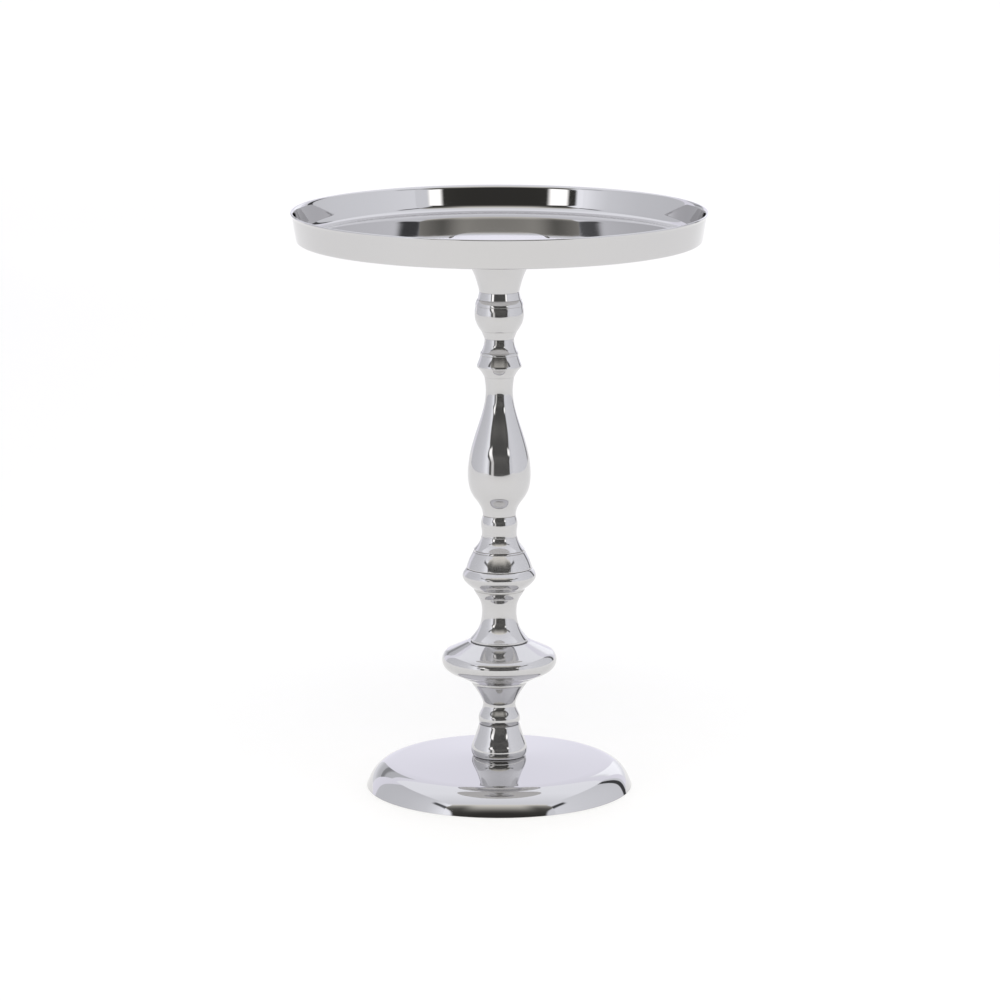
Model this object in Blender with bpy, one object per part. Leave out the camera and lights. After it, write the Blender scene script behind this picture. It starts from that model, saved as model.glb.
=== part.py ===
"""Pedestal tray table: a lipped round tray on a turned baluster column and a weighted base.

The column is a stack of hollow turned sections, each centred by a spigot in the one beneath
it and clamped by a tie rod. The tray screws onto the rod's upper end. Every round piece is a
closed half-section, drawn with lines and smooth curves, spun about the Z axis.
"""

import math

import bmesh
import bpy
import numpy as np
from mathutils import Matrix

# Driving dimensions, in metres.
HEIGHT = 0.560
TRAY_R = 0.1980
TRAY_FOOT_R = 0.1932
TRAY_FOOT_Z = 0.5318
TRAY_WALL = 0.0020
BASE_R = 0.1284
GAP = 0.0003
SPIGOT = 0.0040

# Heights of the seams between the column's sections, from the tray down.
CUP_TOP = 0.5303
CUP_SEAM = 0.4830
KNOP_SEAM = 0.4380
COLLAR_SEAM = 0.4010
VASE_SEAM = 0.2456
CONE_SEAM = 0.2146
RING_SEAM = 0.1862
FOOT_SEAM = 0.1424
DISC_SEAM = 0.1034
SPOOL_SEAM = 0.0604
BELL_SEAM = 0.0290

# Hardware: an M10 rod, its nuts and washers, and the thread that the tray turns on.
ROD_R = 0.0050
ROD_HOLE_R = 0.0056
ROD_TOP = 0.5160
ROD_FOOT = 0.0030
NUT_FLATS = 0.0160
NUT_H = 0.0080
BOSS_R = 0.0160
BOSS_FOOT = 0.5044

FELT_H = 0.0015

COLUMN_STEPS = 24
WIDE_STEPS = 56

for old in list(bpy.data.objects):
    bpy.data.objects.remove(old, do_unlink=True)


# ---------------------------------------------------------------- outlines
class Outline:
    """A half-section drawn from point to point, as (radius, height) in metres."""

    def __init__(self, radius, height):
        self.points = [(radius, height)]

    def line(self, *stops):
        """Straight lines to each of the stops."""
        self.points += stops
        return self

    def curve(self, *knots, steps=2):
        """A smooth curve from here through the knots, with even bends (a cubic spline)."""
        knots = np.array([self.points[-1], *knots])
        at = np.r_[0, np.cumsum(np.hypot(*np.diff(knots, axis=0).T))]
        span = np.diff(at)
        n = len(knots)
        rows = np.eye(n)
        right = np.zeros((n, 2))
        for i in range(1, n - 1):
            rows[i, i - 1:i + 2] = span[i - 1], 2 * (span[i - 1] + span[i]), span[i]
            right[i] = 6 * (
                (knots[i + 1] - knots[i]) / span[i] - (knots[i] - knots[i - 1]) / span[i - 1]
            )
        bend = np.linalg.solve(rows, right)
        for i in range(n - 1):
            for k in range(1, steps + 1):
                b = k / steps
                a = 1 - b
                point = a * knots[i] + b * knots[i + 1]
                point += span[i] ** 2 / 6 * ((a**3 - a) * bend[i] + (b**3 - b) * bend[i + 1])
                self.points.append((float(point[0]), float(point[1])))
        return self


# ---------------------------------------------------------------- materials
def metal(name, colour, roughness, metallic=1.0):
    """A plain Principled material."""
    mat = bpy.data.materials.new(name)
    mat.use_nodes = True
    shader = mat.node_tree.nodes["Principled BSDF"]
    shader.inputs["Base Color"].default_value = (*colour, 1.0)
    shader.inputs["Roughness"].default_value = roughness
    shader.inputs["Metallic"].default_value = metallic
    return mat


def nickel(name):
    return metal("nickel_" + name, (0.80, 0.79, 0.77), 0.04)


def steel(name):
    return metal("steel_" + name, (0.55, 0.55, 0.56), 0.30)


# ---------------------------------------------------------------- makers
def finish(name, bm, mat):
    """Turn a bmesh into the named, smooth-shaded object."""
    bmesh.ops.recalc_face_normals(bm, faces=bm.faces)
    mesh = bpy.data.meshes.new(name)
    bm.to_mesh(mesh)
    bm.free()
    mesh.materials.append(mat)
    mesh.shade_smooth()
    mesh.set_sharp_from_angle(angle=math.radians(35))
    obj = bpy.data.objects.new(name, mesh)
    bpy.context.collection.objects.link(obj)
    return obj


def turned(name, outline, mat, steps=COLUMN_STEPS):
    """Spin a half-section about Z: one that ends on the axis both ways, or a closed ring."""
    bm = bmesh.new()
    rings = []
    for radius, height in outline.points:
        if radius == 0.0:
            rings.append([bm.verts.new((0.0, 0.0, height))] * steps)
            continue
        around = [2 * math.pi * k / steps for k in range(steps)]
        rings.append(
            [bm.verts.new((radius * math.cos(t), radius * math.sin(t), height)) for t in around]
        )
    pairs = list(zip(rings, rings[1:]))
    if outline.points[0][0] > 0.0:
        pairs.append((rings[-1], rings[0]))
    for low, high in pairs:
        for k in range(steps):
            j = (k + 1) % steps
            corners = dict.fromkeys((low[k], low[j], high[j], high[k]))
            bm.faces.new(list(corners))
    return finish(name, bm, mat)


def rod(name, radius, foot, top, mat, steps=24):
    """A plain round bar on the axis, with chamfered ends."""
    bm = bmesh.new()
    place = Matrix.Translation((0, 0, (foot + top) / 2))
    bmesh.ops.create_cone(
        bm, cap_ends=True, segments=steps, radius1=radius, radius2=radius,
        depth=top - foot, matrix=place,
    )
    ends = [e for e in bm.edges if abs(e.verts[0].co.z - e.verts[1].co.z) < 1e-6]
    bmesh.ops.bevel(bm, geom=ends, offset=0.0008, segments=1, affect="EDGES", profile=0.5)
    return finish(name, bm, mat)


def hex_nut(name, foot, mat):
    """A hexagon nut with a round hole, resting at a height on the axis."""
    bm = bmesh.new()
    corner = NUT_FLATS / 2 / math.cos(math.pi / 6)
    steps = 24
    rings = []
    for height in (foot, foot + NUT_H):
        outer = []
        inner = []
        for k in range(steps):
            turn = 2 * math.pi * k / steps
            flat = (turn + math.pi / 6) % (math.pi / 3) - math.pi / 6
            reach = min(NUT_FLATS / 2 / math.cos(flat), corner * 0.985)
            outer.append(bm.verts.new((reach * math.cos(turn), reach * math.sin(turn), height)))
            inner.append(
                bm.verts.new((ROD_HOLE_R * math.cos(turn), ROD_HOLE_R * math.sin(turn), height))
            )
        rings.append((outer, inner))
    (low_out, low_in), (high_out, high_in) = rings
    for k in range(steps):
        j = (k + 1) % steps
        bm.faces.new((low_out[k], low_out[j], high_out[j], high_out[k]))
        bm.faces.new((high_out[k], high_out[j], high_in[j], high_in[k]))
        bm.faces.new((high_in[k], high_in[j], low_in[j], low_in[k]))
        bm.faces.new((low_in[k], low_in[j], low_out[j], low_out[k]))
    return finish(name, bm, mat)


def flat_ring(name, inner, outer, foot, thick, mat, steps=COLUMN_STEPS):
    """A flat washer."""
    shape = Outline(inner, foot).line((outer, foot), (outer, foot + thick), (inner, foot + thick))
    return turned(name, shape, mat, steps)


def split_washer(name, inner, outer, foot, thick, mat, steps=22):
    """A spring washer: one turn of square wire that rises a little and stops short."""
    bm = bmesh.new()
    cuts = []
    for k in range(steps + 1):
        turn = math.radians(8 + 344 * k / steps)
        rise = foot + 0.0006 * k / steps
        cuts.append([
            bm.verts.new((r * math.cos(turn), r * math.sin(turn), z))
            for r, z in ((inner, rise), (outer, rise), (outer, rise + thick), (inner, rise + thick))
        ])
    for a, b in zip(cuts, cuts[1:]):
        for i in range(4):
            j = (i + 1) % 4
            bm.faces.new((a[i], a[j], b[j], b[i]))
    bm.faces.new(cuts[0])
    bm.faces.new(cuts[-1])
    return finish(name, bm, mat)


def section(foot, spigot_r, bore_r, foot_r):
    """Start a column section: its bore, its spigot and its foot, as far as the foot's edge."""
    start = Outline(bore_r, foot + GAP - SPIGOT)
    return start.line((spigot_r, foot + GAP - SPIGOT), (spigot_r, foot + GAP), (foot_r, foot + GAP))


def socket(outline, top, spigot_r):
    """End a section's outside at its flat top, with the socket for the next spigot."""
    mouth = spigot_r + 0.00035
    return outline.line((mouth, top), (mouth, top - SPIGOT - GAP))


# ---------------------------------------------------------------- tray
def tray_dish():
    """A flat-floored tray with a low raised centre, a round cove and a flared wall."""
    floor = TRAY_FOOT_Z + TRAY_WALL
    shape = Outline(0.0, TRAY_FOOT_Z)
    shape.line((TRAY_FOOT_R - 0.0025, TRAY_FOOT_Z))
    shape.curve((TRAY_FOOT_R - 0.0006, TRAY_FOOT_Z + 0.0008), (TRAY_FOOT_R, 0.5345), steps=1)
    shape.line((TRAY_R - 0.0014, 0.5560))
    shape.curve((TRAY_R, HEIGHT - 0.0008), (TRAY_R - 0.0008, HEIGHT), steps=1)
    shape.line((TRAY_R - 0.0032, 0.5560), (TRAY_FOOT_R - 0.0009, 0.5410))
    shape.curve((TRAY_FOOT_R - 0.0030, 0.5358), (TRAY_FOOT_R - 0.0090, floor), steps=2)
    shape.line((0.0470, floor), (0.0440, floor + 0.0010), (0.0, floor + 0.0010))
    return turned("tray_dish", shape, nickel("tray"), WIDE_STEPS)


def tray_boss():
    """The threaded boss soldered under the middle of the tray."""
    hole = ROD_R + 0.0005
    shape = Outline(hole, BOSS_FOOT).line(
        (BOSS_R - 0.001, BOSS_FOOT),
        (BOSS_R, BOSS_FOOT + 0.001),
        (BOSS_R, TRAY_FOOT_Z - GAP),
        (hole, TRAY_FOOT_Z - GAP),
    )
    return turned("tray_boss", shape, steel("boss"))


# ---------------------------------------------------------------- column
def support_cup():
    """The trumpet-shaped cup that carries the tray."""
    shape = section(CUP_SEAM, 0.0115, ROD_HOLE_R, 0.0191)
    shape.curve((0.0209, 0.4902), (0.0256, 0.5030), (0.0372, 0.5205))
    shape.line((0.0430, 0.5270), (0.0440, CUP_TOP), (0.0405, CUP_TOP))
    shape.curve((0.0330, 0.5200), (0.0150, 0.4990), steps=1)
    shape.line((0.0130, 0.4920), (ROD_HOLE_R, 0.4920))
    return turned("support_cup", shape, nickel("cup"))


def upper_knop():
    """The bulb below the cup, with a raised ring near its top."""
    shape = section(KNOP_SEAM, 0.0102, 0.0085, 0.0143)
    shape.curve((0.0175, 0.4456), steps=1)
    shape.curve((0.0221, 0.4535), (0.0235, 0.4618), (0.0226, 0.4700))
    shape.curve((0.0207, 0.4757), (0.0191, CUP_SEAM))
    socket(shape, CUP_SEAM, 0.0115)
    shape.line((0.0185, 0.4660), (0.0150, 0.4490), (0.0085, 0.4420))
    return turned("upper_knop", shape, nickel("upper_knop"))


def upper_collar():
    """A flared collar with a sharp lower edge and a bead on its slope."""
    shape = section(COLLAR_SEAM, 0.0096, 0.0070, 0.0146)
    shape.curve((0.0168, 0.4050), (0.0214, 0.4106), steps=1)
    shape.line((0.0212, 0.4128))
    shape.curve((0.0189, 0.4186), (0.0175, 0.4230), steps=1)
    shape.line((0.0172, 0.4246))
    shape.curve((0.0150, 0.4305), (0.0141, KNOP_SEAM), steps=1)
    socket(shape, KNOP_SEAM, 0.0102)
    shape.line((0.0070, 0.4310))
    return turned("upper_collar", shape, nickel("upper_collar"))


def vase():
    """The long baluster: a vase with a thin neck above and a small bead below."""
    shape = section(VASE_SEAM, 0.0116, 0.0090, 0.0170)
    shape.curve((0.0168, 0.2500), (0.0176, 0.2570), (0.0158, 0.2662), steps=1)
    shape.curve(
        (0.0168, 0.2718), (0.0263, 0.2872), (0.0302, 0.3080), (0.0272, 0.3305),
        (0.0186, 0.3586), (0.0130, 0.3880), (0.0144, COLLAR_SEAM),
    )
    socket(shape, COLLAR_SEAM, 0.0096)
    shape.curve((0.0095, 0.3850), (0.0150, 0.3560), (0.0262, 0.3120), (0.0205, 0.2860), steps=1)
    shape.line((0.0123, 0.2720), (0.0090, 0.2640))
    return turned("vase", shape, nickel("vase"))


def lower_collar():
    """The spreading cone under the vase, standing on the ring knop."""
    shape = section(CONE_SEAM, 0.0220, 0.0180, 0.0316)
    shape.line((0.0316, CONE_SEAM + 0.0012))
    shape.curve((0.0247, 0.2312))
    shape.line((0.0238, 0.2334))
    shape.curve((0.0186, 0.2405), (0.0172, VASE_SEAM), steps=1)
    socket(shape, VASE_SEAM, 0.0116)
    shape.line((0.0190, 0.2260), (0.0180, 0.2200))
    return turned("lower_collar", shape, nickel("lower_collar"))


def ring_knop():
    """A flat-topped round ring with a reed under it."""
    shape = section(RING_SEAM, 0.0138, 0.0105, 0.0204)
    shape.curve((0.0245, 0.1930), steps=1)
    shape.line((0.0249, 0.1946))
    shape.curve((0.0320, 0.2005), (0.0355, 0.2068), (0.0318, CONE_SEAM))
    socket(shape, CONE_SEAM, 0.0220)
    shape.line((0.0275, 0.2070), (0.0215, 0.1975), (0.0105, 0.1900))
    return turned("ring_knop", shape, nickel("ring_knop"))


def waist_spool():
    """The narrow waist with a spreading foot."""
    shape = section(FOOT_SEAM, 0.0190, 0.0150, 0.0277)
    shape.line((0.0279, 0.1447))
    shape.curve((0.0204, 0.1546), (0.0167, 0.1710), (0.0177, 0.1800))
    shape.line((0.0203, RING_SEAM))
    socket(shape, RING_SEAM, 0.0138)
    shape.line((0.0130, 0.1740), (0.0150, 0.1570))
    return turned("waist_spool", shape, nickel("waist_spool"))


def disc_knop():
    """The widest knop: a rounded disc with a stepped underside."""
    shape = section(DISC_SEAM, 0.0170, 0.0130, 0.0290)
    shape.line((0.0396, 0.1094), (0.0402, 0.1100))
    shape.curve((0.0496, 0.1142), (0.0546, 0.1200), (0.0549, 0.1272), (0.0500, 0.1332))
    shape.line((0.0300, FOOT_SEAM))
    socket(shape, FOOT_SEAM, 0.0190)
    shape.line((0.0400, 0.1330), (0.0500, 0.1245), (0.0420, 0.1145), (0.0130, 0.1080))
    return turned("disc_knop", shape, nickel("disc_knop"), COLUMN_STEPS + 8)


def lower_spool():
    """The lowest spool: a cove over a plump bead."""
    shape = section(SPOOL_SEAM, 0.0140, 0.0110, 0.0190)
    shape.curve((0.0200, 0.0675), (0.0157, 0.0792), (0.0181, 0.0874), (0.0268, 0.1010))
    shape.line((0.0272, DISC_SEAM))
    socket(shape, DISC_SEAM, 0.0170)
    shape.line((0.0170, 0.0940), (0.0110, 0.0800))
    return turned("lower_spool", shape, nickel("lower_spool"))


def bell():
    """The bell-shaped socket that joins the column to the base."""
    shape = section(BELL_SEAM, 0.0160, 0.0120, 0.0200)
    shape.curve((0.0252, 0.0315), (0.0269, 0.0375), (0.0236, 0.0475), (0.0196, SPOOL_SEAM))
    socket(shape, SPOOL_SEAM, 0.0140)
    shape.line((0.0180, 0.0500), (0.0215, 0.0390), (0.0120, 0.0345))
    return turned("bell", shape, nickel("bell"))


# ---------------------------------------------------------------- base
def base_shell():
    """The spun cover of the base: a shallow cone with a rounded shoulder."""
    hole = 0.0160 + 2 * GAP
    under = BELL_SEAM - 0.0020
    shape = Outline(hole, under).line((hole, BELL_SEAM), (0.0240, BELL_SEAM), (0.1040, 0.0231))
    shape.curve((0.1150, 0.0193), (0.1225, 0.0121), (BASE_R, 0.0))
    shape.line((BASE_R - 0.0020, 0.0))
    shape.curve((0.1205, 0.0111), (0.1137, 0.0177), (0.1036, 0.0211), steps=1)
    shape.line((0.0240, under))
    return turned("base_shell", shape, nickel("base"), WIDE_STEPS)


def base_weight():
    """The cast cement weight that fills the base, with a recess for the rod's nut."""
    foot = FELT_H + GAP
    shape = Outline(0.0200, foot)
    shape.line((0.1235, foot), (0.1190, 0.0100), (0.1125, 0.0165), (0.1025, 0.0202))
    shape.line((0.0235, 0.0260), (0.0180, 0.0260), (0.0180, 0.0248))
    shape.line((ROD_HOLE_R, 0.0248), (ROD_HOLE_R, 0.0192), (0.0200, 0.0192))
    cement = metal("cement_weight", (0.35, 0.34, 0.32), 0.9, 0.0)
    return turned("base_weight", shape, cement, WIDE_STEPS)


def base_felt():
    """The felt disc under the base, open at the middle over the nut."""
    felt = metal("green_felt", (0.05, 0.09, 0.06), 0.95, 0.0)
    return flat_ring("base_felt", 0.0230, BASE_R - 0.0040, 0.0, FELT_H, felt, WIDE_STEPS)


# ---------------------------------------------------------------- assembly
tray_dish()
tray_boss()
fibre = metal("red_fibre", (0.28, 0.08, 0.05), 0.7, 0.0)
flat_ring("tray_washer", 0.0180, 0.0415, CUP_TOP + GAP, 0.0009, fibre)

support_cup()
upper_knop()
upper_collar()
vase()
lower_collar()
ring_knop()
waist_spool()
disc_knop()
lower_spool()
bell()

base_shell()
base_weight()
base_felt()

rod("tie_rod", ROD_R, ROD_FOOT, ROD_TOP, steel("rod"))
flat_ring("top_washer", ROD_HOLE_R, 0.0105, 0.4923, 0.0016, steel("top_washer"), 24)
hex_nut("top_nut", 0.4942, steel("top_nut"))
flat_ring("base_washer", ROD_HOLE_R, 0.0150, 0.0169, 0.0020, steel("base_washer"), 24)
split_washer("base_spring_washer", ROD_HOLE_R, 0.0088, 0.0139, 0.0020, steel("spring_washer"))
hex_nut("base_nut", 0.0056, steel("base_nut"))
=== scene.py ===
# %% [markdown]
# # A pedestal tray table in mirror-polished nickel
# The real table is a shallow round tray on a turned column with a weighted foot. Nearly all of
# it is brass, turned on a lathe, polished to a mirror and nickel plated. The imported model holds
# its sizes, its bodies and its joints. This lesson makes the finished surfaces around it: each
# piece is turned again with fine steps and rounded arrises, because a mirror shows every facet,
# and gets a material that is worked out by nodes.

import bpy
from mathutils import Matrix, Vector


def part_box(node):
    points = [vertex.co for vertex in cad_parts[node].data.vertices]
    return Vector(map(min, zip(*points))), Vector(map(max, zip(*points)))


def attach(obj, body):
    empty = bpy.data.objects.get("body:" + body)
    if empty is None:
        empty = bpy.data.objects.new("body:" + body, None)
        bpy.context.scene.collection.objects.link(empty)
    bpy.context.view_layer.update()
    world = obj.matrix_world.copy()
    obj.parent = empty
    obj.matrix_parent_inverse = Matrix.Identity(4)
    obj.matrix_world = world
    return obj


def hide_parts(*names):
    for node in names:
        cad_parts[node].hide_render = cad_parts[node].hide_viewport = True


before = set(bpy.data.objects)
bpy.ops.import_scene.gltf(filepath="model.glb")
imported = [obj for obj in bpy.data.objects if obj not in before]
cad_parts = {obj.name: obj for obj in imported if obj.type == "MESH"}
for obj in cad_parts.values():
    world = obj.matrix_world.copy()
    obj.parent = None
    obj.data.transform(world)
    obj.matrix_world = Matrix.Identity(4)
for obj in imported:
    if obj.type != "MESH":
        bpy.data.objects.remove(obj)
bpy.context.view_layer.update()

# %% [markdown]
# ## The camera
# A long lens from about four metres keeps the upright lines almost parallel, and the height of
# the camera shows the floor of the tray and the top of the foot.

# %% Camera
import math

import bmesh
import bpy
import numpy as np
from mathutils import Matrix, noise

CAMERA_BACK = 4.2604
CAMERA_UP = 1.1269
CAMERA_TILT = 11.235
LENS = 162.9

lens = bpy.data.cameras.new("camera")
lens.lens = LENS
lens.clip_end = 50
camera = bpy.data.objects.new("camera", lens)
camera.location = (0.0007, -CAMERA_BACK, CAMERA_UP)
camera.rotation_euler = (math.radians(90 - CAMERA_TILT), 0, 0)
bpy.context.collection.objects.link(camera)
bpy.context.scene.camera = camera
print("camera at", tuple(round(c, 3) for c in camera.location))

# %% [markdown]
# ## Small helpers for nodes
# A material is a graph of nodes. A few helpers keep the graphs short to read. The main one adds a
# node and sets its values by name. Another starts a node group, an effect that several materials
# share, and feed joins what a graph works out to the inputs of a shader.

# %% Node helpers
def add(tree, kind, out=0, **values):
    """Add a node, set its properties or inputs by name, and give back one of its outputs."""
    made = tree.nodes.new("ShaderNode" + kind)
    for key, value in values.items():
        name = key.replace("_", " ")
        if isinstance(value, bpy.types.NodeSocket):
            tree.links.new(value, socket_of(made, key, name))
        elif hasattr(made, key):
            setattr(made, key, value)
        else:
            socket_of(made, key, name).default_value = value
    return made.outputs[out]


def socket_of(made, key, name):
    """An input by its label, or by number when the key is like in0."""
    if key.startswith("in") and key[2:].isdigit():
        return made.inputs[int(key[2:])]
    return made.inputs[name]


def math_node(tree, operation, a, b=0.0, c=0.0):
    """One step of arithmetic between sockets or numbers."""
    return add(tree, "Math", operation=operation, in0=a, in1=b, in2=c)


def times(tree, a, b, plus=0.0):
    """a times b, plus a third value."""
    return math_node(tree, "MULTIPLY_ADD", a, b, plus)


def span(tree, value, low, high, to_low=0.0, to_high=1.0):
    """Map low..high to to_low..to_high, smoothly and held at both ends."""
    return add(
        tree, "MapRange", interpolation_type="SMOOTHSTEP", in0=value,
        in1=low, in2=high, in3=to_low, in4=to_high,
    )


def new_group(name, inputs, outputs):
    """A node group with named inputs {name: (kind, default)} and named outputs."""
    group = bpy.data.node_groups.new(name, "ShaderNodeTree")
    for label, (kind, default) in inputs.items():
        socket = group.interface.new_socket(label, in_out="INPUT", socket_type="NodeSocket" + kind)
        if default is not None:
            socket.default_value = default
    for label in outputs:
        group.interface.new_socket(label, in_out="OUTPUT", socket_type="NodeSocketFloat")
    ins = group.nodes.new("NodeGroupInput")
    outs = group.nodes.new("NodeGroupOutput")
    return group, ins.outputs, outs.inputs


def use_group(tree, group, output, **values):
    """Place a group in a material with its own values, and give back one output."""
    return add(tree, "Group", out=output, node_tree=group, **values)


def cloud(tree, position, scale, detail, **more):
    """A soft noise with the given number of patches per metre."""
    return add(tree, "TexNoise", Vector=position, Scale=scale, Detail=detail, **more)


def feed(shader, **sockets):
    """Join sockets to the inputs of a shader by name, as in Base_Color=socket."""
    for key, socket in sockets.items():
        shader.id_data.links.new(socket, shader.inputs[key.replace("_", " ")])


print("node helpers ready")

# %% [markdown]
# ## Wheel lines
# A turned piece is polished while it spins, so the finest marks run round it. They depend only
# on how far along the outline a point lies. Each piece carries that distance as an attribute
# called run, in metres, and a one-dimensional noise along it draws lines of uneven strength.

# %% Group: wheel lines
def wheel_lines_group():
    """Fine lines round a turned piece, 0 to 1, with the given number of lines per metre."""
    group, ins, outs = new_group(
        "wheel_lines", {"Run": ("Float", 0.0), "Lines per metre": ("Float", 2500.0)}, ["Height"]
    )
    across = times(group, ins["Run"], ins["Lines per metre"])
    fine = add(group, "TexNoise", noise_dimensions="1D", W=across, Scale=1.0, Detail=2.0)
    broad = add(group, "TexNoise", noise_dimensions="1D", W=across, Scale=0.11, Detail=1.0)
    both = times(group, fine, broad)
    group.links.new(span(group, both, 0.12, 0.40), outs["Height"])
    return group


wheel_lines = wheel_lines_group()
print("group", wheel_lines.name)

# %% [markdown]
# ## Handling marks
# A mirror finish in use carries faint cloudy patches from hands and cloths, and hairline marks
# that wander. The patches are a soft noise with only its upper part kept. A hairline is the thin
# band where another, distorted noise passes through its middle value.

# %% Group: handling marks
def handling_group():
    """Cloudy patches and hairlines on a surface, each 0 to 1."""
    group, ins, outs = new_group(
        "handling_marks",
        {"Position": ("Vector", None), "Patches per metre": ("Float", 22.0)},
        ["Patches", "Hairlines"],
    )
    position = ins["Position"]
    patch = cloud(
        group, position, ins["Patches per metre"], 4.0, Roughness=0.62, Distortion=0.6,
    )
    group.links.new(span(group, patch, 0.50, 0.76), outs["Patches"])
    closer = times(group, ins["Patches per metre"], 0.9)
    wander = cloud(group, position, closer, 1.0, Distortion=2.4)
    from_middle = math_node(group, "ABSOLUTE", math_node(group, "SUBTRACT", wander, 0.5))
    line = span(group, from_middle, 0.0012, 0.0045, 1.0, 0.0)
    kept = span(group, cloud(group, position, 60.0, 2.0), 0.46, 0.60)
    group.links.new(times(group, line, kept), outs["Hairlines"])
    return group


handling = handling_group()
print("group", handling.name)

# %% [markdown]
# ## Waviness
# Sheet and castings are never perfectly true after polishing: the wheel leaves swells of about a
# hundredth of a millimetre, a few centimetres apart. They bend reflected edges a little, which is
# what makes polished metal look like metal and not like a computed mirror.

# %% Group: waviness
def waviness_group():
    """A slow swell of the surface, 0 to 1, for the height of a bump."""
    group, ins, outs = new_group(
        "waviness",
        {"Position": ("Vector", None), "Swells per metre": ("Float", 28.0)},
        ["Height"],
    )
    slow = cloud(group, ins["Position"], ins["Swells per metre"], 1.0, Roughness=0.35)
    group.links.new(slow, outs["Height"])
    return group


waviness = waviness_group()
print("group", waviness.name)

# %% [markdown]
# ## Painted shade and polish in the hollows
# Seams and grooves are painted darker: partly as painted shade, which falls into them, and partly
# for polishing compound and a trace of tarnish, which stay where the wheel and the cloth can't
# reach. Each piece marks those places with an attribute called hollow. The group breaks that mark
# up with noise, so that the dark line isn't even all the way round.

# %% Group: hollows
def hollows_group():
    """Painted shade and polish residue, 0 to 1, from the hollow mark and some noise."""
    group, ins, outs = new_group(
        "painted_shade_and_polish_in_hollows",
        {"Hollow": ("Float", 0.0), "Position": ("Vector", None)},
        ["Mask"],
    )
    patch = cloud(group, ins["Position"], 95.0, 3.0)
    reach = math_node(group, "ADD", ins["Hollow"], times(group, patch, 0.5))
    group.links.new(span(group, reach, 0.75, 1.35), outs["Mask"])
    return group


hollows = hollows_group()
print("group", hollows.name)

# %% [markdown]
# ## Polished nickel
# Nickel plate over polished brass reflects a little less than two thirds of the light, with
# hardly any colour of its own. So the shader is a metal with a pale grey base and a very low
# roughness, and everything else only disturbs it slightly: cloudy patches and wheel lines raise
# the roughness, swells bend the normal, and the hollows are painted darker, as painted shade and
# polish residue. The column is cast, and cast brass polishes with tiny pores, so its plate has a
# faint grey bloom that the smooth sheet of the tray and the foot doesn't have.

# %% Material: polished nickel
NICKEL = (0.622, 0.616, 0.618, 1.0)
# The colour painted into the hollows: painted shade, with some polish residue.
RESIDUE_AND_SHADE = (0.150, 0.132, 0.110, 1.0)
MIRROR_ROUGHNESS = 0.022
SWELL_HEIGHT = 0.000012
LINE_DEPTH = 0.0000004


def start_material(name, metallic, **constants):
    """A material, its tree, its Principled shader, and the place of each point on the piece."""
    mat = bpy.data.materials.new(name)
    mat.use_nodes = True
    tree = mat.node_tree
    shader = tree.nodes["Principled BSDF"]
    shader.inputs["Metallic"].default_value = metallic
    for key, value in constants.items():
        shader.inputs[key.replace("_", " ")].default_value = value
    position = add(tree, "TexCoord", out="Object")
    return mat, tree, shader, position


def attribute(tree, name):
    """A number that the mesh carries at its points."""
    return add(tree, "Attribute", out="Fac", attribute_name=name)


def mix_colour(tree, factor, a, b):
    """Blend two colours."""
    return add(tree, "Mix", out=2, data_type="RGBA", in0=factor, in6=a, in7=b)


def polished_nickel(name, patches, patch_haze, swells, gloss=MIRROR_ROUGHNESS, bloom=0.0):
    """Mirror nickel with so many patches and swells per metre, under a thin dull bloom."""
    mat, tree, shader, position = start_material(name, 1.0 - bloom)
    run = attribute(tree, "run")
    lines = use_group(tree, wheel_lines, "Height", Run=run, Lines_per_metre=2600.0)
    cloudy = use_group(tree, handling, "Patches", Position=position, Patches_per_metre=patches)
    hair = use_group(tree, handling, "Hairlines", Position=position, Patches_per_metre=patches)
    slow = use_group(tree, waviness, "Height", Position=position, Swells_per_metre=swells)
    hollow = attribute(tree, "hollow")
    dark = use_group(tree, hollows, "Mask", Hollow=hollow, Position=position)

    rough = times(tree, cloudy, patch_haze, gloss)
    rough = times(tree, lines, 0.020, rough)
    rough = times(tree, hair, 0.060, rough)
    rough = times(tree, dark, 0.300, rough)
    swell_bump = add(tree, "Bump", Height=slow, Strength=1.0, Distance=SWELL_HEIGHT)
    line_bump = add(
        tree, "Bump", Height=lines, Strength=1.0, Distance=LINE_DEPTH, Normal=swell_bump
    )
    # The hollows are painted darker: painted shade, with polish residue.
    tone = mix_colour(tree, dark, NICKEL, RESIDUE_AND_SHADE)
    feed(shader, Base_Color=tone, Roughness=rough, Normal=line_bump)
    return mat


column_nickel = polished_nickel(
    "polished_nickel_column", patches=22.0, patch_haze=0.045, swells=28.0, gloss=0.040, bloom=0.10
)
tray_nickel = polished_nickel("polished_nickel_tray", patches=14.0, patch_haze=0.035, swells=16.0)
foot_nickel = polished_nickel("polished_nickel_foot", patches=16.0, patch_haze=0.050, swells=18.0)
print("nickel", column_nickel.name, tray_nickel.name, foot_nickel.name)

# %% [markdown]
# ## Turning a piece
# A turner works to a half outline. Here it is a list of points joined by lines and by smooth
# curves through a few knots. The outline becomes a wire in a bmesh, its marked corners are
# rounded with the bevel operator, and the spin operator turns the wire about the axis. A mirror
# finish has no truly sharp edge, so every arris gets a small radius, and a curve that runs on
# from a line starts in that line's direction, because a mirror shows the smallest kink.

# %% Outlines
GAP = 0.0003  # an open seam
TIGHT = 0.00004  # a seam that was polished shut
SPIGOT = 0.0040  # how far one section drops into the next
SUPPORT = 0.0010  # from the end of a line to the point that keeps it flat
ARRIS = 0.0003
FINE_ARRIS = 0.00012


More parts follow.
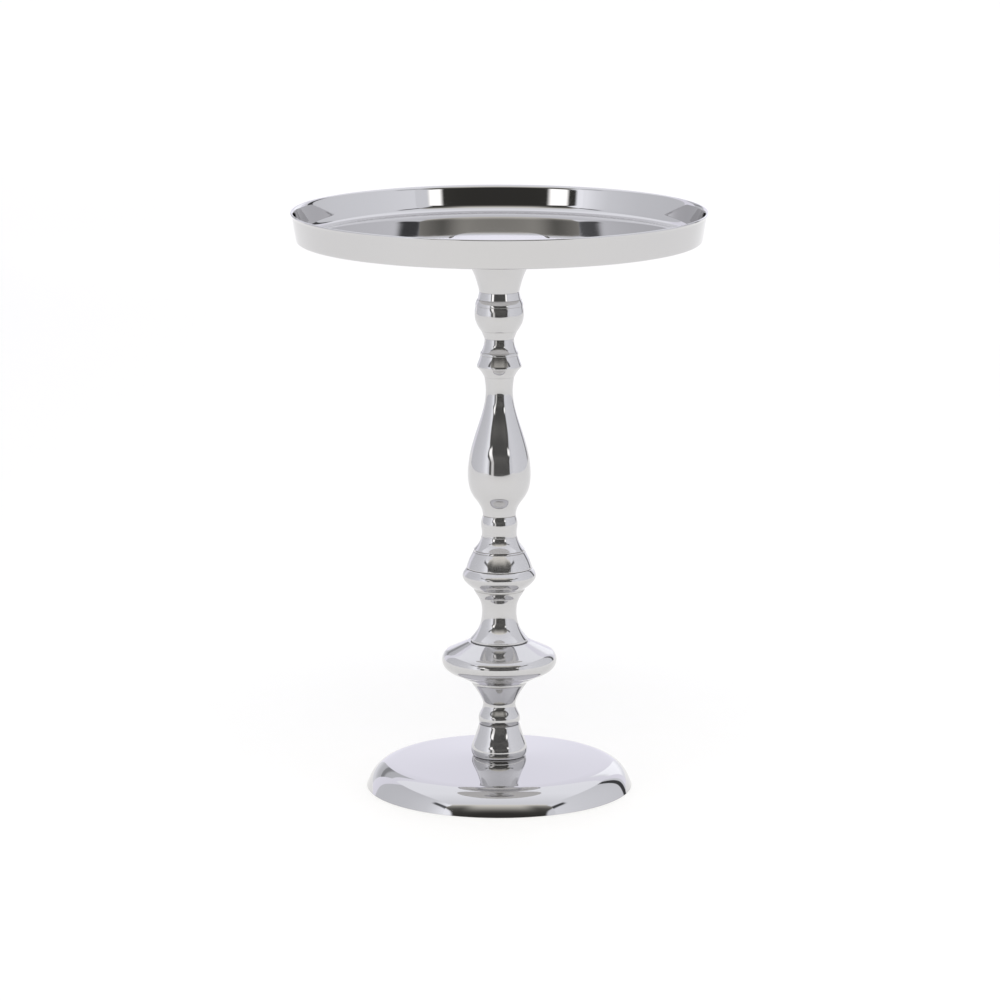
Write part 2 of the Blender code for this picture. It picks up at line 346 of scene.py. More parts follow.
class Outline:
    """A half-section drawn from point to point, as (radius, height) in metres."""

    def __init__(self, radius, height):
        self.points = [(radius, height)]
        self.corners = {}
        self.hollows = []

    def line(self, *stops):
        """Straight lines, each with a supporting point near both ends to keep it flat."""
        for stop in stops:
            start = np.array(self.points[-1])
            way = np.array(stop) - start
            length = math.hypot(*way)
            if length > 4 * SUPPORT:
                near = start + way * SUPPORT / length
                far = start + way * (1 - SUPPORT / length)
                self.points += [tuple(near), tuple(far)]
            self.points.append(stop)
        return self

    def heading(self):
        """The direction in which the outline arrives at its last point."""
        way = np.array(self.points[-1]) - np.array(self.points[-2])
        return way / math.hypot(*way)

    def curve(self, *knots, steps=10, leave=None, meet=None):
        """A smooth curve through the knots, starting and ending in set directions if given."""
        knots = np.array([self.points[-1], *knots])
        at = np.r_[0, np.cumsum(np.hypot(*np.diff(knots, axis=0).T))]
        span_of = np.diff(at)
        n = len(knots)
        rows = np.eye(n)
        right = np.zeros((n, 2))
        for i in range(1, n - 1):
            before, after = span_of[i - 1], span_of[i]
            rows[i, i - 1:i + 2] = before, 2 * (before + after), after
            right[i] = 6 * ((knots[i + 1] - knots[i]) / after - (knots[i] - knots[i - 1]) / before)
        if leave is not None:
            rows[0, 0:2] = 2 * span_of[0], span_of[0]
            right[0] = 6 * ((knots[1] - knots[0]) / span_of[0] - leave / np.hypot(*leave))
        if meet is not None:
            rows[-1, -2:] = span_of[-1], 2 * span_of[-1]
            right[-1] = 6 * (meet / np.hypot(*meet) - (knots[-1] - knots[-2]) / span_of[-1])
        bend = np.linalg.solve(rows, right)
        for i in range(n - 1):
            for k in range(1, steps + 1):
                b = k / steps
                a = 1 - b
                point = a * knots[i] + b * knots[i + 1]
                pull = (a**3 - a) * bend[i] + (b**3 - b) * bend[i + 1]
                self.points.append(tuple(point + span_of[i] ** 2 / 6 * pull))
        return self

    def arris(self, radius=ARRIS):
        """Round the corner that was just drawn."""
        self.corners[len(self.points) - 1] = radius
        return self

    def hollow(self):
        """Mark the point just drawn as a place painted darker, as shade and polish residue."""
        self.hollows.append(self.points[-1])
        return self

    def step(self, outwards, upwards=0.0):
        """A small crisp step, with its first corner hollow and its second rounded."""
        self.hollow()
        radius_now, height_now = self.points[-1]
        self.points.append((radius_now + outwards, height_now + upwards))
        return self.arris(FINE_ARRIS)


print("arris radius", ARRIS)

# %% [markdown]
# ## From outline to mesh
# After its corners are rounded, the wire is walked once from its start, to write two numbers on
# each point: run, the distance along the outline, and hollow, how near it is to a marked place.
# The spin copies both to every new point, so the materials can read them all the way round.

# %% Spin an outline
HOLLOW_REACH = 0.0007
ROUND_STEPS = 4


def wire_order(start):
    """The wire's points in order, from the start to the far end or once round a loop."""
    order = [start]
    edge = start.link_edges[0]
    while True:
        vert = edge.other_vert(order[-1])
        if vert is start:
            return order
        order.append(vert)
        onward = [e for e in vert.link_edges if e is not edge]
        if not onward:
            return order
        edge = onward[0]


def finish_mesh(name, bm, mat, sharp=40, closed=True):
    """Turn a bmesh into the named, smooth-shaded object with its material."""
    if closed:
        bmesh.ops.recalc_face_normals(bm, faces=bm.faces)
    mesh = bpy.data.meshes.new(name)
    bm.to_mesh(mesh)
    bm.free()
    mesh.materials.append(mat)
    mesh.shade_smooth()
    mesh.set_sharp_from_angle(angle=math.radians(sharp))
    obj = bpy.data.objects.new(name, mesh)
    bpy.context.collection.objects.link(obj)
    return obj


def draw_wire(bm, outline):
    """Draw the outline as a wire, round its corners and write run and hollow on it."""
    run = bm.verts.layers.float.new("run")
    hollow = bm.verts.layers.float.new("hollow")
    wire = [bm.verts.new((radius, 0, height)) for radius, height in outline.points]
    for a, b in zip(wire, wire[1:]):
        bm.edges.new((a, b))
    if outline.points[0][0] > 0:
        bm.edges.new((wire[-1], wire[0]))
    for index, radius in outline.corners.items():
        bmesh.ops.bevel(
            bm, geom=[wire[index]], offset=radius, offset_type="OFFSET", segments=ROUND_STEPS,
            profile=0.5, affect="VERTICES", material=-1,
        )
    order = wire_order(wire[0])
    along = 0.0
    for i, vert in enumerate(order):
        if i:
            along += (vert.co - order[i - 1].co).length
        vert[run] = along
        for radius, height in outline.hollows:
            away = math.hypot(vert.co.x - radius, vert.co.z - height)
            vert[hollow] = max(vert[hollow], 1 - away / HOLLOW_REACH)


def spin_outline(outline, steps):
    """Spin an outline once round the Z axis, and merge what meets at the seam and the axis."""
    bm = bmesh.new()
    draw_wire(bm, outline)
    bmesh.ops.spin(
        bm, geom=bm.verts[:] + bm.edges[:], cent=(0, 0, 0), axis=(0, 0, 1),
        angle=math.tau, steps=steps, use_merge=True,
    )
    bmesh.ops.remove_doubles(bm, verts=bm.verts, dist=1e-6)
    return bm


def turned(name, outline, mat, steps=192):
    """A closed piece turned to an outline."""
    return finish_mesh(name, spin_outline(outline, steps), mat)


def stands_for(piece, node, body="stand"):
    """The piece rides on its body and is shown in place of its node."""
    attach(piece, body)
    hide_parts(node)
    low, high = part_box(node)
    tall = (high.z - low.z) * 1000
    print(f"{piece.name}: {len(piece.data.polygons)} faces, {tall:.1f} mm tall")


print("turning tools ready")

# %% [markdown]
# ## The tray
# The tray is spun from one round of sheet: a flat floor with a low raised middle, a round cove
# and a wall that leans outwards to a rolled, rounded rim. The floor and the wall are drawn with
# straight lines, because a flat mirror shows the smallest bend, and the cove runs smoothly from
# one to the other.

# %% Tray
tray_low, tray_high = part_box("tray_dish")
RIM_R = tray_high.x
RIM_Z = tray_high.z
FOOT_Z = tray_low.z
FOOT_R = RIM_R - 0.0048
FLOOR_Z = FOOT_Z + 0.0020
MIDDLE_Z = FLOOR_Z + 0.0010
MIDDLE_R = 0.0440
MIDDLE_SLOPE = 0.0034
MIDDLE_ARRIS = 0.0007
INWARDS = np.array((-1.0, 0.0))


def tray_outline():
    """From the middle underneath, out and up the wall, over the rim and back along the floor."""
    shape = Outline(0.0, FOOT_Z).line((FOOT_R - 0.0030, FOOT_Z))
    up = np.array((0.0035, 0.0215))
    shape.curve(
        (FOOT_R - 0.0007, FOOT_Z + 0.0009), (FOOT_R, FOOT_Z + 0.0032), steps=7,
        leave=shape.heading(), meet=up,
    )
    shape.line((RIM_R - 0.0014, RIM_Z - 0.0040))
    shape.curve(
        (RIM_R, RIM_Z - 0.0008), (RIM_R - 0.0008, RIM_Z), steps=6, leave=shape.heading(),
        meet=INWARDS,
    )
    down = np.array((-0.0024, -0.0148))
    shape.curve(
        (RIM_R - 0.0020, RIM_Z - 0.0007), (RIM_R - 0.0031, RIM_Z - 0.0034), steps=6,
        leave=INWARDS, meet=down,
    )
    shape.line((FOOT_R - 0.0009, FOOT_Z + 0.0102))
    shape.curve(
        (FOOT_R - 0.0030, FOOT_Z + 0.0046), (FOOT_R - 0.0095, FLOOR_Z), steps=12,
        leave=shape.heading(), meet=INWARDS,
    )
    shape.line((MIDDLE_R + MIDDLE_SLOPE, FLOOR_Z)).arris(MIDDLE_ARRIS)
    shape.line((MIDDLE_R, MIDDLE_Z)).arris(MIDDLE_ARRIS)
    return shape.line((0.0, MIDDLE_Z))


tray = turned("polished_tray", tray_outline(), tray_nickel, steps=256)
stands_for(tray, "tray_dish", "tray")

# %% [markdown]
# ## The column
# The column is a stack of hollow turned sections on a tie rod. Each one ends below in a spigot
# that drops into the section beneath it, and above in a socket for the next. Most seams were
# polished with the stack clamped up, so they close to a hair. Only where a section stands on a
# broad flat, on the ring, on the disc and on the bell, does a real gap stay open, and its edge is
# painted dark, as painted shade and polish residue. Two helpers draw the ends, and the seam
# heights are read from the frame. Between its ends, each outline has only the knots that its
# shape needs.

# %% Ends of a section
STACK = [
    "support_cup", "upper_knop", "upper_collar", "vase", "lower_collar", "ring_knop",
    "waist_spool", "disc_knop", "lower_spool", "bell", "base_shell",
]
OPEN_SEAMS = {"lower_collar", "waist_spool", "lower_spool"}
top_of = {name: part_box(name)[1].z for name in STACK}
foot_of = {name: top_of[below] for name, below in zip(STACK, STACK[1:])}


def section(name, spigot_r, bore_r, foot_r):
    """Start a section with its bore, its spigot and its foot, as far as the foot's edge."""
    opened = name in OPEN_SEAMS
    foot = foot_of[name] + (GAP if opened else TIGHT)
    start = Outline(bore_r, foot - SPIGOT)
    start.line((spigot_r, foot - SPIGOT)).arris()
    start.line((spigot_r, foot), (foot_r, foot)).arris(ARRIS if opened else FINE_ARRIS)
    return start.hollow() if opened else start


def socket(shape, name, spigot_r):
    """End a section's outside at its flat top, with the socket for the next spigot."""
    mouth = spigot_r + 0.00035
    top = top_of[name]
    above = STACK[STACK.index(name) - 1]
    shape.arris(ARRIS if above in OPEN_SEAMS else FINE_ARRIS)
    return shape.line((mouth, top), (mouth, top - SPIGOT - GAP))


def column_piece(name, outline, node, steps=192):
    """Turn a section of the column and put it in its node's place."""
    stands_for(turned(name, outline, column_nickel, steps), node)


print("seams at", [round(z, 4) for z in foot_of.values()])

# %% [markdown]
# ## Cup, bulb and collar
# A trumpet-shaped cup spreads out under the tray. Below it sit a bulb with a raised ring near
# its top, and a flared collar with a bead and a crisp lower edge. The rings are cut with the
# corner of the tool, so they end in small steps a few tenths of a millimetre high.

# %% Cup, bulb and collar
def cup_outline():
    """The trumpet under the tray, with a hollow inside for the clamping nut."""
    shape = section("support_cup", 0.0115, 0.0056, 0.0191)
    shape.curve((0.0209, 0.4902), (0.0256, 0.5030), (0.0372, 0.5205))
    top = top_of["support_cup"]
    shape.line((0.0430, 0.5270), (0.0440, top)).arris().line((0.0405, top)).arris()
    shape.curve((0.0330, 0.5200), (0.0150, 0.4990))
    return shape.line((0.0130, 0.4920), (0.0056, 0.4920))


def bulb_outline():
    """The bulb below the cup, with its raised ring."""
    top = top_of["upper_knop"]
    shape = section("upper_knop", 0.0102, 0.0085, 0.0143)
    shape.curve((0.0162, 0.4427), (0.0175, 0.4456)).step(0.0003)
    shape.curve((0.0222, 0.4535), (0.0236, 0.4618), (0.0226, 0.4698)).step(0.0004, 0.0001)
    shape.curve((0.0224, 0.4728), (0.0211, 0.4757), steps=5).step(-0.0005, 0.0001)
    shape.curve((0.0198, 0.4796), (0.0191, top))
    socket(shape, "upper_knop", 0.0115)
    return shape.line((0.0185, 0.4660), (0.0150, 0.4490), (0.0085, 0.4420))


def collar_outline():
    """The flared collar, with a bead on its slope."""
    top = top_of["upper_collar"]
    shape = section("upper_collar", 0.0096, 0.0070, 0.0146)
    shape.curve((0.0168, 0.4050), (0.0214, 0.4106)).arris(0.0004)
    shape.line((0.0213, 0.4124))
    shape.curve((0.0190, 0.4184), (0.0178, 0.4222), steps=8).step(0.0004, 0.0001)
    shape.curve((0.0181, 0.4236), (0.0176, 0.4249), steps=5).step(-0.0004, 0.0001)
    shape.curve((0.0150, 0.4305), (0.0141, top))
    socket(shape, "upper_collar", 0.0102)
    return shape.line((0.0070, 0.4310))


column_piece("polished_cup", cup_outline(), "support_cup")
column_piece("polished_bulb", bulb_outline(), "upper_knop")
column_piece("polished_collar", collar_outline(), "upper_collar")

# %% [markdown]
# ## The vase
# The long baluster is the main form of the column: a full belly low down, drawn in to a thin
# neck above, with a small bead under it. One curve through seven knots keeps the swelling even,
# which shows in the long straight highlights down its front.

# %% Vase
def vase_outline():
    """The baluster, hollow inside, from its bead to its neck."""
    top = top_of["vase"]
    shape = section("vase", 0.0116, 0.0090, 0.0170)
    shape.curve((0.0168, 0.2500), (0.0176, 0.2570), (0.0158, 0.2662)).hollow()
    shape.curve(
        (0.0168, 0.2718), (0.0263, 0.2872), (0.0302, 0.3080), (0.0272, 0.3305),
        (0.0186, 0.3586), (0.0130, 0.3880), (0.0144, top),
    )
    socket(shape, "vase", 0.0096)
    shape.curve((0.0095, 0.3850), (0.0150, 0.3560), (0.0262, 0.3120), (0.0205, 0.2860))
    return shape.line((0.0123, 0.2720), (0.0090, 0.2640))


column_piece("polished_vase", vase_outline(), "vase", steps=224)

# %% [markdown]
# ## Cone, ring and waist
# A cone spreads from the vase down to a flat-topped ring, with a groove cut round it. Under the
# ring a narrow waist opens out again to a foot with a crisp edge, which stands on the widest
# knop.

# %% Cone, ring and waist
def cone_outline():
    """The spreading cone on the ring."""
    foot = foot_of["lower_collar"]
    top = top_of["lower_collar"]
    shape = section("lower_collar", 0.0220, 0.0180, 0.0316)
    shape.line((0.0316, foot + 0.0012)).arris()
    shape.curve((0.0284, 0.2243), (0.0250, 0.2306), steps=8).step(-0.0006, 0.0002)
    shape.line((0.0241, 0.2324)).step(0.0004, 0.0005)
    shape.curve((0.0188, 0.2405), (0.0172, top))
    socket(shape, "lower_collar", 0.0116)
    return shape.line((0.0190, 0.2260), (0.0180, 0.2200))


def ring_outline():
    """The ring, with a reed under it."""
    top = top_of["ring_knop"]
    shape = section("ring_knop", 0.0138, 0.0105, 0.0204)
    shape.curve((0.0226, 0.1895), (0.0245, 0.1930)).hollow()
    shape.line((0.0249, 0.1946))
    shape.curve((0.0320, 0.2005), (0.0355, 0.2068), (0.0318, top - 0.0002))
    shape.line((0.0312, top))
    socket(shape, "ring_knop", 0.0220)
    return shape.line((0.0275, 0.2070), (0.0215, 0.1975), (0.0105, 0.1900))


def waist_outline():
    """The waist and its spreading foot."""
    top = top_of["waist_spool"]
    shape = section("waist_spool", 0.0190, 0.0150, 0.0277)
    shape.line((0.0279, 0.1447)).arris(0.0004)
    shape.curve((0.0204, 0.1546), (0.0167, 0.1710), (0.0177, 0.1800), (0.0203, top))
    socket(shape, "waist_spool", 0.0138)
    return shape.line((0.0130, 0.1740), (0.0150, 0.1570))


column_piece("polished_cone", cone_outline(), "lower_collar")
column_piece("polished_ring", ring_outline(), "ring_knop")
column_piece("polished_waist", waist_outline(), "waist_spool")

# %% [markdown]
# ## Disc, spool and bell
# The widest knop is a rounded disc with a stepped underside. A short spool with a plump bead
# carries it, and a bell-shaped socket joins the column to the foot.

# %% Disc, spool and bell
BELL_SPIGOT_R = 0.0160


def disc_outline():
    """The disc, with a step where its underside begins."""
    shape = section("disc_knop", 0.0170, 0.0130, 0.0290)
    shape.line((0.0396, 0.1094), (0.0402, 0.1100)).hollow()
    slope = np.array((-0.0200, 0.0092))
    shape.curve(
        (0.0496, 0.1142), (0.0546, 0.1200), (0.0549, 0.1272), (0.0500, 0.1332), meet=slope,
    )
    shape.line((0.0300, top_of["disc_knop"]))
    socket(shape, "disc_knop", 0.0190)
    return shape.line((0.0400, 0.1330), (0.0500, 0.1245), (0.0420, 0.1145), (0.0130, 0.1080))


def spool_outline():
    """The cove over a bead."""
    shape = section("lower_spool", 0.0140, 0.0110, 0.0190)
    shape.curve((0.0200, 0.0675), (0.0157, 0.0792), (0.0181, 0.0874), (0.0268, 0.1010))
    shape.line((0.0272, top_of["lower_spool"]))
    socket(shape, "lower_spool", 0.0170)
    return shape.line((0.0170, 0.0940), (0.0110, 0.0800))


def bell_outline():
    """The bell that stands on the foot, with its lip rolled under."""
    top = top_of["bell"]
    shape = section("bell", BELL_SPIGOT_R, 0.0120, 0.0246)
    shape.curve(
        (0.0264, 0.0312), (0.0271, 0.0366), (0.0236, 0.0475), (0.0196, top),
        leave=np.array((1.0, 0.35)),
    )
    socket(shape, "bell", 0.0140)
    return shape.line((0.0180, 0.0500), (0.0215, 0.0390), (0.0120, 0.0345))


column_piece("polished_disc", disc_outline(), "disc_knop", steps=224)
column_piece("polished_spool", spool_outline(), "lower_spool")
column_piece("polished_bell", bell_outline(), "bell")

# %% [markdown]
# ## The foot
# The foot is a spun cover over a cement weight: a shallow cone that turns down over a rounded
# shoulder to the floor. The shoulder is what reflects the whole front of the room, so its
# curve passes smoothly into the straight slope.

# %% Foot cover
SHEET = 0.0020


def foot_outline():
    """From the hole in the middle, out over the top, down the shoulder and back underneath."""
    edge_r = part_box("base_shell")[1].x
    hub_z = top_of["base_shell"]
    hole = BELL_SPIGOT_R + 2 * GAP
    under = hub_z - SHEET
    shape = Outline(hole, under).line((hole, hub_z), (0.0240, hub_z), (0.0990, 0.02347))
    shape.curve(
        (0.1122, 0.0204), (0.1218, 0.0128), (edge_r, 0.0), steps=16, leave=shape.heading(),
    )
    shape.line((edge_r - SHEET, 0.0))
    shape.curve((0.1200, 0.0111), (0.1110, 0.0187), (0.0990, 0.0214), steps=6)
    return shape.line((0.0240, under))


foot = turned("polished_foot", foot_outline(), foot_nickel, steps=256)
stands_for(foot, "base_shell")

# %% [markdown]
# ## Grain
# Felt, cement and pressed fibre all have a fine uneven body. One group gives them a mottle with a
# few octaves of noise, and pits: small round places, where a cell pattern comes close to its own
# middle and a second noise lets only some of the cells through. The cement paints its pits dark,
# as painted shade in the bubble holes.

# %% Group: grain
def grain_group():
    """A mottled body and scattered pits, each 0 to 1."""
    group, ins, outs = new_group(
        "grain",
        {
            "Position": ("Vector", None), "Grains per metre": ("Float", 400.0),
            "Pits per metre": ("Float", 300.0), "Pit size": ("Float", 0.25),
        },
        ["Mottle", "Pits"],
    )
    position = ins["Position"]
    mottle = cloud(group, position, ins["Grains per metre"], 5.0, Roughness=0.65)
    group.links.new(span(group, mottle, 0.28, 0.72), outs["Mottle"])
    cells = add(group, "TexVoronoi", Vector=position, Scale=ins["Pits per metre"])
    larger = times(group, ins["Pit size"], 1.5)
    round_pit = span(group, cells, ins["Pit size"], larger, 1.0, 0.0)
    some = span(group, cloud(group, position, 140.0, 1.0), 0.48, 0.56)
    group.links.new(times(group, round_pit, some), outs["Pits"])
    return group


grain = grain_group()
print("group", grain.name)

# %% [markdown]
# ## Cement, felt and fibre
# Cement is pale grey with sand in it and the pits of air bubbles. Felt is matted wool: two greens
# in small clumps, fine fibres in the bump, and a soft sheen at its edge from the standing hairs.
# The washer under the tray is vulcanised fibre, dense and dull red, rubbed a little shiny.

# %% Materials: cement, felt, fibre
def cement_material():
    """Cast cement with sand and bubbles."""
    mat, tree, shader, position = start_material("cast_cement", 0.0, Specular_IOR_Level=0.3)
    mottle = use_group(tree, grain, "Mottle", Position=position, Grains_per_metre=260.0)
    pits = use_group(tree, grain, "Pits", Position=position, Pits_per_metre=420.0, Pit_size=0.22)
    sand = add(tree, "TexVoronoi", out="Color", Vector=position, Scale=1400.0)
    sand_tone = add(tree, "SeparateColor", out=0, in0=sand)
    stain = cloud(tree, position, 22.0, 3.0)
    body = mix_colour(tree, mottle, (0.31, 0.30, 0.28, 1), (0.40, 0.39, 0.365, 1))
    body = mix_colour(tree, span(tree, sand_tone, 0.82, 0.95), body, (0.22, 0.19, 0.15, 1))
    body = mix_colour(tree, span(tree, stain, 0.50, 0.75), body, (0.30, 0.285, 0.25, 1))
    # The pits are painted dark: painted shade in the bubble holes.
    body = mix_colour(tree, pits, body, (0.12, 0.115, 0.105, 1))
    rough = span(tree, mottle, 0.0, 1.0, 0.80, 0.95)
    height = times(tree, pits, -1.0, times(tree, mottle, 0.3))
    bump = add(tree, "Bump", Height=height, Strength=1.0, Distance=0.0004)
    feed(shader, Base_Color=body, Roughness=rough, Normal=bump)
    return mat


def felt_material():
    """Matted green wool."""
    mat, tree, shader, position = start_material(
        "green_wool_felt", 0.0, Roughness=0.95, Specular_IOR_Level=0.15,
        Sheen_Weight=0.45, Sheen_Roughness=0.45, Sheen_Tint=(0.55, 0.75, 0.58, 1),
    )
    clumps = use_group(tree, grain, "Mottle", Position=position, Grains_per_metre=520.0)
    fibres = cloud(tree, position, 1300.0, 4.0, Roughness=0.7, Distortion=3.5)
    worn = span(tree, cloud(tree, position, 18.0, 2.0), 0.52, 0.72, 0.0, 0.45)
    wool = mix_colour(tree, clumps, (0.030, 0.062, 0.036, 1), (0.060, 0.110, 0.068, 1))
    wool = mix_colour(tree, span(tree, fibres, 0.56, 0.70), wool, (0.110, 0.165, 0.115, 1))
    wool = mix_colour(tree, worn, wool, (0.10, 0.11, 0.08, 1))
    height = times(tree, fibres, 0.6, times(tree, clumps, 0.5))
    bump = add(tree, "Bump", Height=height, Strength=0.9, Distance=0.0004)
    feed(shader, Base_Color=wool, Normal=bump)
    return mat


def fibre_material():
    """Vulcanised red fibre, rubbed by the tray."""
    mat, tree, shader, position = start_material("red_fibre", 0.0, Specular_IOR_Level=0.4)
    flock = use_group(tree, grain, "Mottle", Position=position, Grains_per_metre=700.0)
    run = attribute(tree, "run")
    rubbed = use_group(tree, wheel_lines, "Height", Run=run, Lines_per_metre=1800.0)
    body = mix_colour(tree, flock, (0.235, 0.062, 0.040, 1), (0.320, 0.098, 0.062, 1))
    rough = span(tree, rubbed, 0.0, 1.0, 0.72, 0.46)
    bump = add(tree, "Bump", Height=flock, Strength=0.6, Distance=0.00008)
    feed(shader, Base_Color=body, Roughness=rough, Normal=bump)
    return mat


cement = cement_material()
felt = felt_material()
fibre = fibre_material()
print("materials", cement.name, felt.name, fibre.name)

# %% [markdown]
# ## Steel
# The hidden hardware is steel. The boss is bare and freshly turned. The rod, the nuts and the
# flat washers are zinc plated: a satin, slightly blue grey with cloudy patches and a few rubbed
# spots. The spring washer is left dark from its heat treatment, under a film of oil.

# %% Materials: steels
def steel_material(name, colour, patch_colour, rough, lines_per_metre, line_depth):
    """A worked steel surface, with cloudy patches in a second colour."""
    mat, tree, shader, position = start_material(name, 1.0)
    run = attribute(tree, "run")
    lines = use_group(tree, wheel_lines, "Height", Run=run, Lines_per_metre=lines_per_metre)
    cloudy = use_group(tree, handling, "Patches", Position=position, Patches_per_metre=150.0)
    scuffs = use_group(tree, handling, "Hairlines", Position=position, Patches_per_metre=220.0)
    tone = mix_colour(tree, cloudy, (*colour, 1), (*patch_colour, 1))
    tone = mix_colour(tree, scuffs, tone, (0.62, 0.62, 0.63, 1))
    hazy = times(tree, cloudy, 0.14, rough)
    hazy = times(tree, lines, 0.08, hazy)
    bump = add(tree, "Bump", Height=lines, Strength=1.0, Distance=line_depth)
    feed(shader, Base_Color=tone, Roughness=hazy, Normal=bump)
    return mat


bare_steel = steel_material(
    "turned_steel", (0.56, 0.56, 0.57), (0.44, 0.43, 0.42), 0.24, 3200.0, 0.000006,
)
zinc = steel_material(
    "zinc_plated_steel", (0.58, 0.60, 0.63), (0.46, 0.47, 0.48), 0.30, 1500.0, 0.000004,
)
spring_steel = steel_material(
    "oiled_spring_steel", (0.17, 0.16, 0.155), (0.11, 0.095, 0.08), 0.34, 1200.0, 0.000008,
)
print("steels", bare_steel.name, zinc.name, spring_steel.name)

# %% [markdown]
# ## Weight and felt
# The cover is filled with cast cement, poured round a core that leaves room for the nut. A felt
# ring is glued on underneath so that the foot doesn't scratch the floor. Both are closed forms:
# the cement with soft cast edges, the felt with a rounded, slightly uneven cut edge.

# %% Weight and felt
ROD_HOLE = 0.0056
NUT_ROOM_R = 0.0200
NUT_ROOM_Z = 0.0192


def weight_outline():
    """The cement, with a recess for the nut."""
    low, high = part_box("base_weight")
    foot, top = low.z, high.z
    shape = Outline(NUT_ROOM_R, foot)
    shape.line((high.x, foot)).arris(0.0006).line((0.1190, 0.0100), (0.1125, 0.0165))
    shape.line((0.1025, 0.0202)).line((0.0235, top)).arris(0.0010)
    shape.line((0.0180, top), (0.0180, top - 0.0012), (ROD_HOLE, top - 0.0012))
    shape.line((ROD_HOLE, NUT_ROOM_Z)).arris(0.0004)
    return shape.line((NUT_ROOM_R, NUT_ROOM_Z)).arris(0.0012)


def felt_outline():
    """The felt ring's half-section, with soft cut edges."""
    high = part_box("base_felt")[1]
    shape = Outline(0.0230, 0.0008)
    shape.curve((0.0234, 0.0001), (0.0240, 0.0), steps=4)
    shape.line((high.x - 0.0010, 0.0))
    shape.curve((high.x - 0.0001, 0.0006), (high.x - 0.0002, 0.0012), (high.x - 0.0008, high.z))
    return shape.line((0.0236, high.z))


def uneven_edge(piece, depth, ripples):
    """Push the points of a soft ring in and out a little, with a slow noise round it."""
    for vert in piece.data.vertices:
        inwards = 1 - depth * (0.5 + 0.5 * noise.noise(vert.co * ripples))
        vert.co.x *= inwards
        vert.co.y *= inwards


stands_for(turned("cement_weight", weight_outline(), cement), "base_weight")
felt_ring = turned("wool_felt_ring", felt_outline(), felt, steps=256)
uneven_edge(felt_ring, 0.0035, 240.0)
stands_for(felt_ring, "base_felt")

# %% [markdown]
# ## Boss, washers and the fibre ring
# A threaded boss is soldered under the middle of the tray. The tray bears on a fibre ring, which
# lets it turn without scoring the cup. Two flat washers spread the pull of the rod.

# %% Boss and flat washers
THREAD_BORE = 0.0055
RING_ARRIS = 0.0002


def ring_outline_of(node, bore):
    """A flat ring as thick and as wide as its node, with rounded edges."""
    low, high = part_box(node)
    shape = Outline(bore, (low.z + high.z) / 2)
    for corner in ((bore, low.z), (high.x, low.z), (high.x, high.z), (bore, high.z)):
        shape.line(corner).arris(RING_ARRIS)
    return shape


def boss_outline():
    """The boss, chamfered at its foot and at the mouth of its bore."""
    low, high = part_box("tray_boss")
    shape = Outline(THREAD_BORE, low.z + 0.0008)
    shape.line((THREAD_BORE + 0.0008, low.z), (high.x - 0.0010, low.z)).arris(0.0001)
    shape.line((high.x, low.z + 0.0010)).arris(0.0001)
    shape.line((high.x, high.z)).arris(0.0002)
    return shape.line((THREAD_BORE, high.z))


stands_for(turned("machined_boss", boss_outline(), bare_steel), "tray_boss", "tray")
slip_ring = turned("fibre_slip_ring", ring_outline_of("tray_washer", 0.0180), fibre)
stands_for(slip_ring, "tray_washer", "washer")
for end in ("top", "base"):
    flat = ring_outline_of(f"{end}_washer", ROD_HOLE)
    stands_for(turned(f"zinc_{end}_washer", flat, zinc, steps=96), f"{end}_washer")

# %% [markdown]
# ## Rod and spring washer
# The tie rod is a round bar with a rolled thread on both ends. The thread is a small flat-topped
# tooth, spun and raised one pitch per turn. The spring washer is one turn of square wire that
# rises a little and stops short.

# %% Threads and coils
PITCH = 0.0015
TOOTH_WIDTH = 0.00146
CREST_START = 0.00064
CREST_END = 0.00082
TURN_STEPS = 32
ROD_CORE = 0.0042
ROD_CHAMFER = 0.0007
LOWER_THREAD_TOP = 0.0215
UPPER_THREAD_FOOT = 0.4860


def coil(bm, section_points, turn, rise, steps):
    """Spin a small closed section while it rises, and close both of its ends."""
    verts = [bm.verts.new((radius, 0, height)) for radius, height in section_points]
    edges = [bm.edges.new((a, b)) for a, b in zip(verts, verts[1:] + verts[:1])]
    first = list(edges)
    made = bmesh.ops.spin(
        bm, geom=verts + edges, cent=(0, 0, 0), axis=(0, 0, 1), angle=turn, steps=steps,
        dvec=(0, 0, rise / steps), use_merge=False,
    )
    last = [part for part in made["geom_last"] if isinstance(part, bmesh.types.BMEdge)]
    bmesh.ops.holes_fill(bm, edges=first, sides=0)
    bmesh.ops.holes_fill(bm, edges=last, sides=0)


def tooth(foot):
    """The thread's section, from its root to a narrow flat crest."""
    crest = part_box("tie_rod")[1].x - 0.00002
    root = ROD_CORE - 0.0001
    flat = [(crest, foot + CREST_START), (crest, foot + CREST_END)]
    return [(root, foot), *flat, (root, foot + TOOTH_WIDTH)]


def tie_rod():
    """The bar with its two threaded ends, as one piece."""
    low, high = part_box("tie_rod")
    full = high.x - 0.00005
    shape = Outline(0.0, low.z)
    shape.line((ROD_CORE - ROD_CHAMFER, low.z), (ROD_CORE, low.z + ROD_CHAMFER))
    shape.line((ROD_CORE, LOWER_THREAD_TOP), (full, LOWER_THREAD_TOP + 0.0010))
    shape.line((full, UPPER_THREAD_FOOT - 0.0010), (ROD_CORE, UPPER_THREAD_FOOT))
    shape.line((ROD_CORE, high.z - ROD_CHAMFER), (ROD_CORE - ROD_CHAMFER, high.z))
    shape.line((0.0, high.z))
    bm = spin_outline(shape, 48)
    for foot, turns in ((low.z + 0.0004, 11), (UPPER_THREAD_FOOT + 0.0002, 19)):
        coil(bm, tooth(foot), math.tau * turns, PITCH * turns, TURN_STEPS * turns)
    return finish_mesh("zinc_tie_rod", bm, zinc, sharp=25)


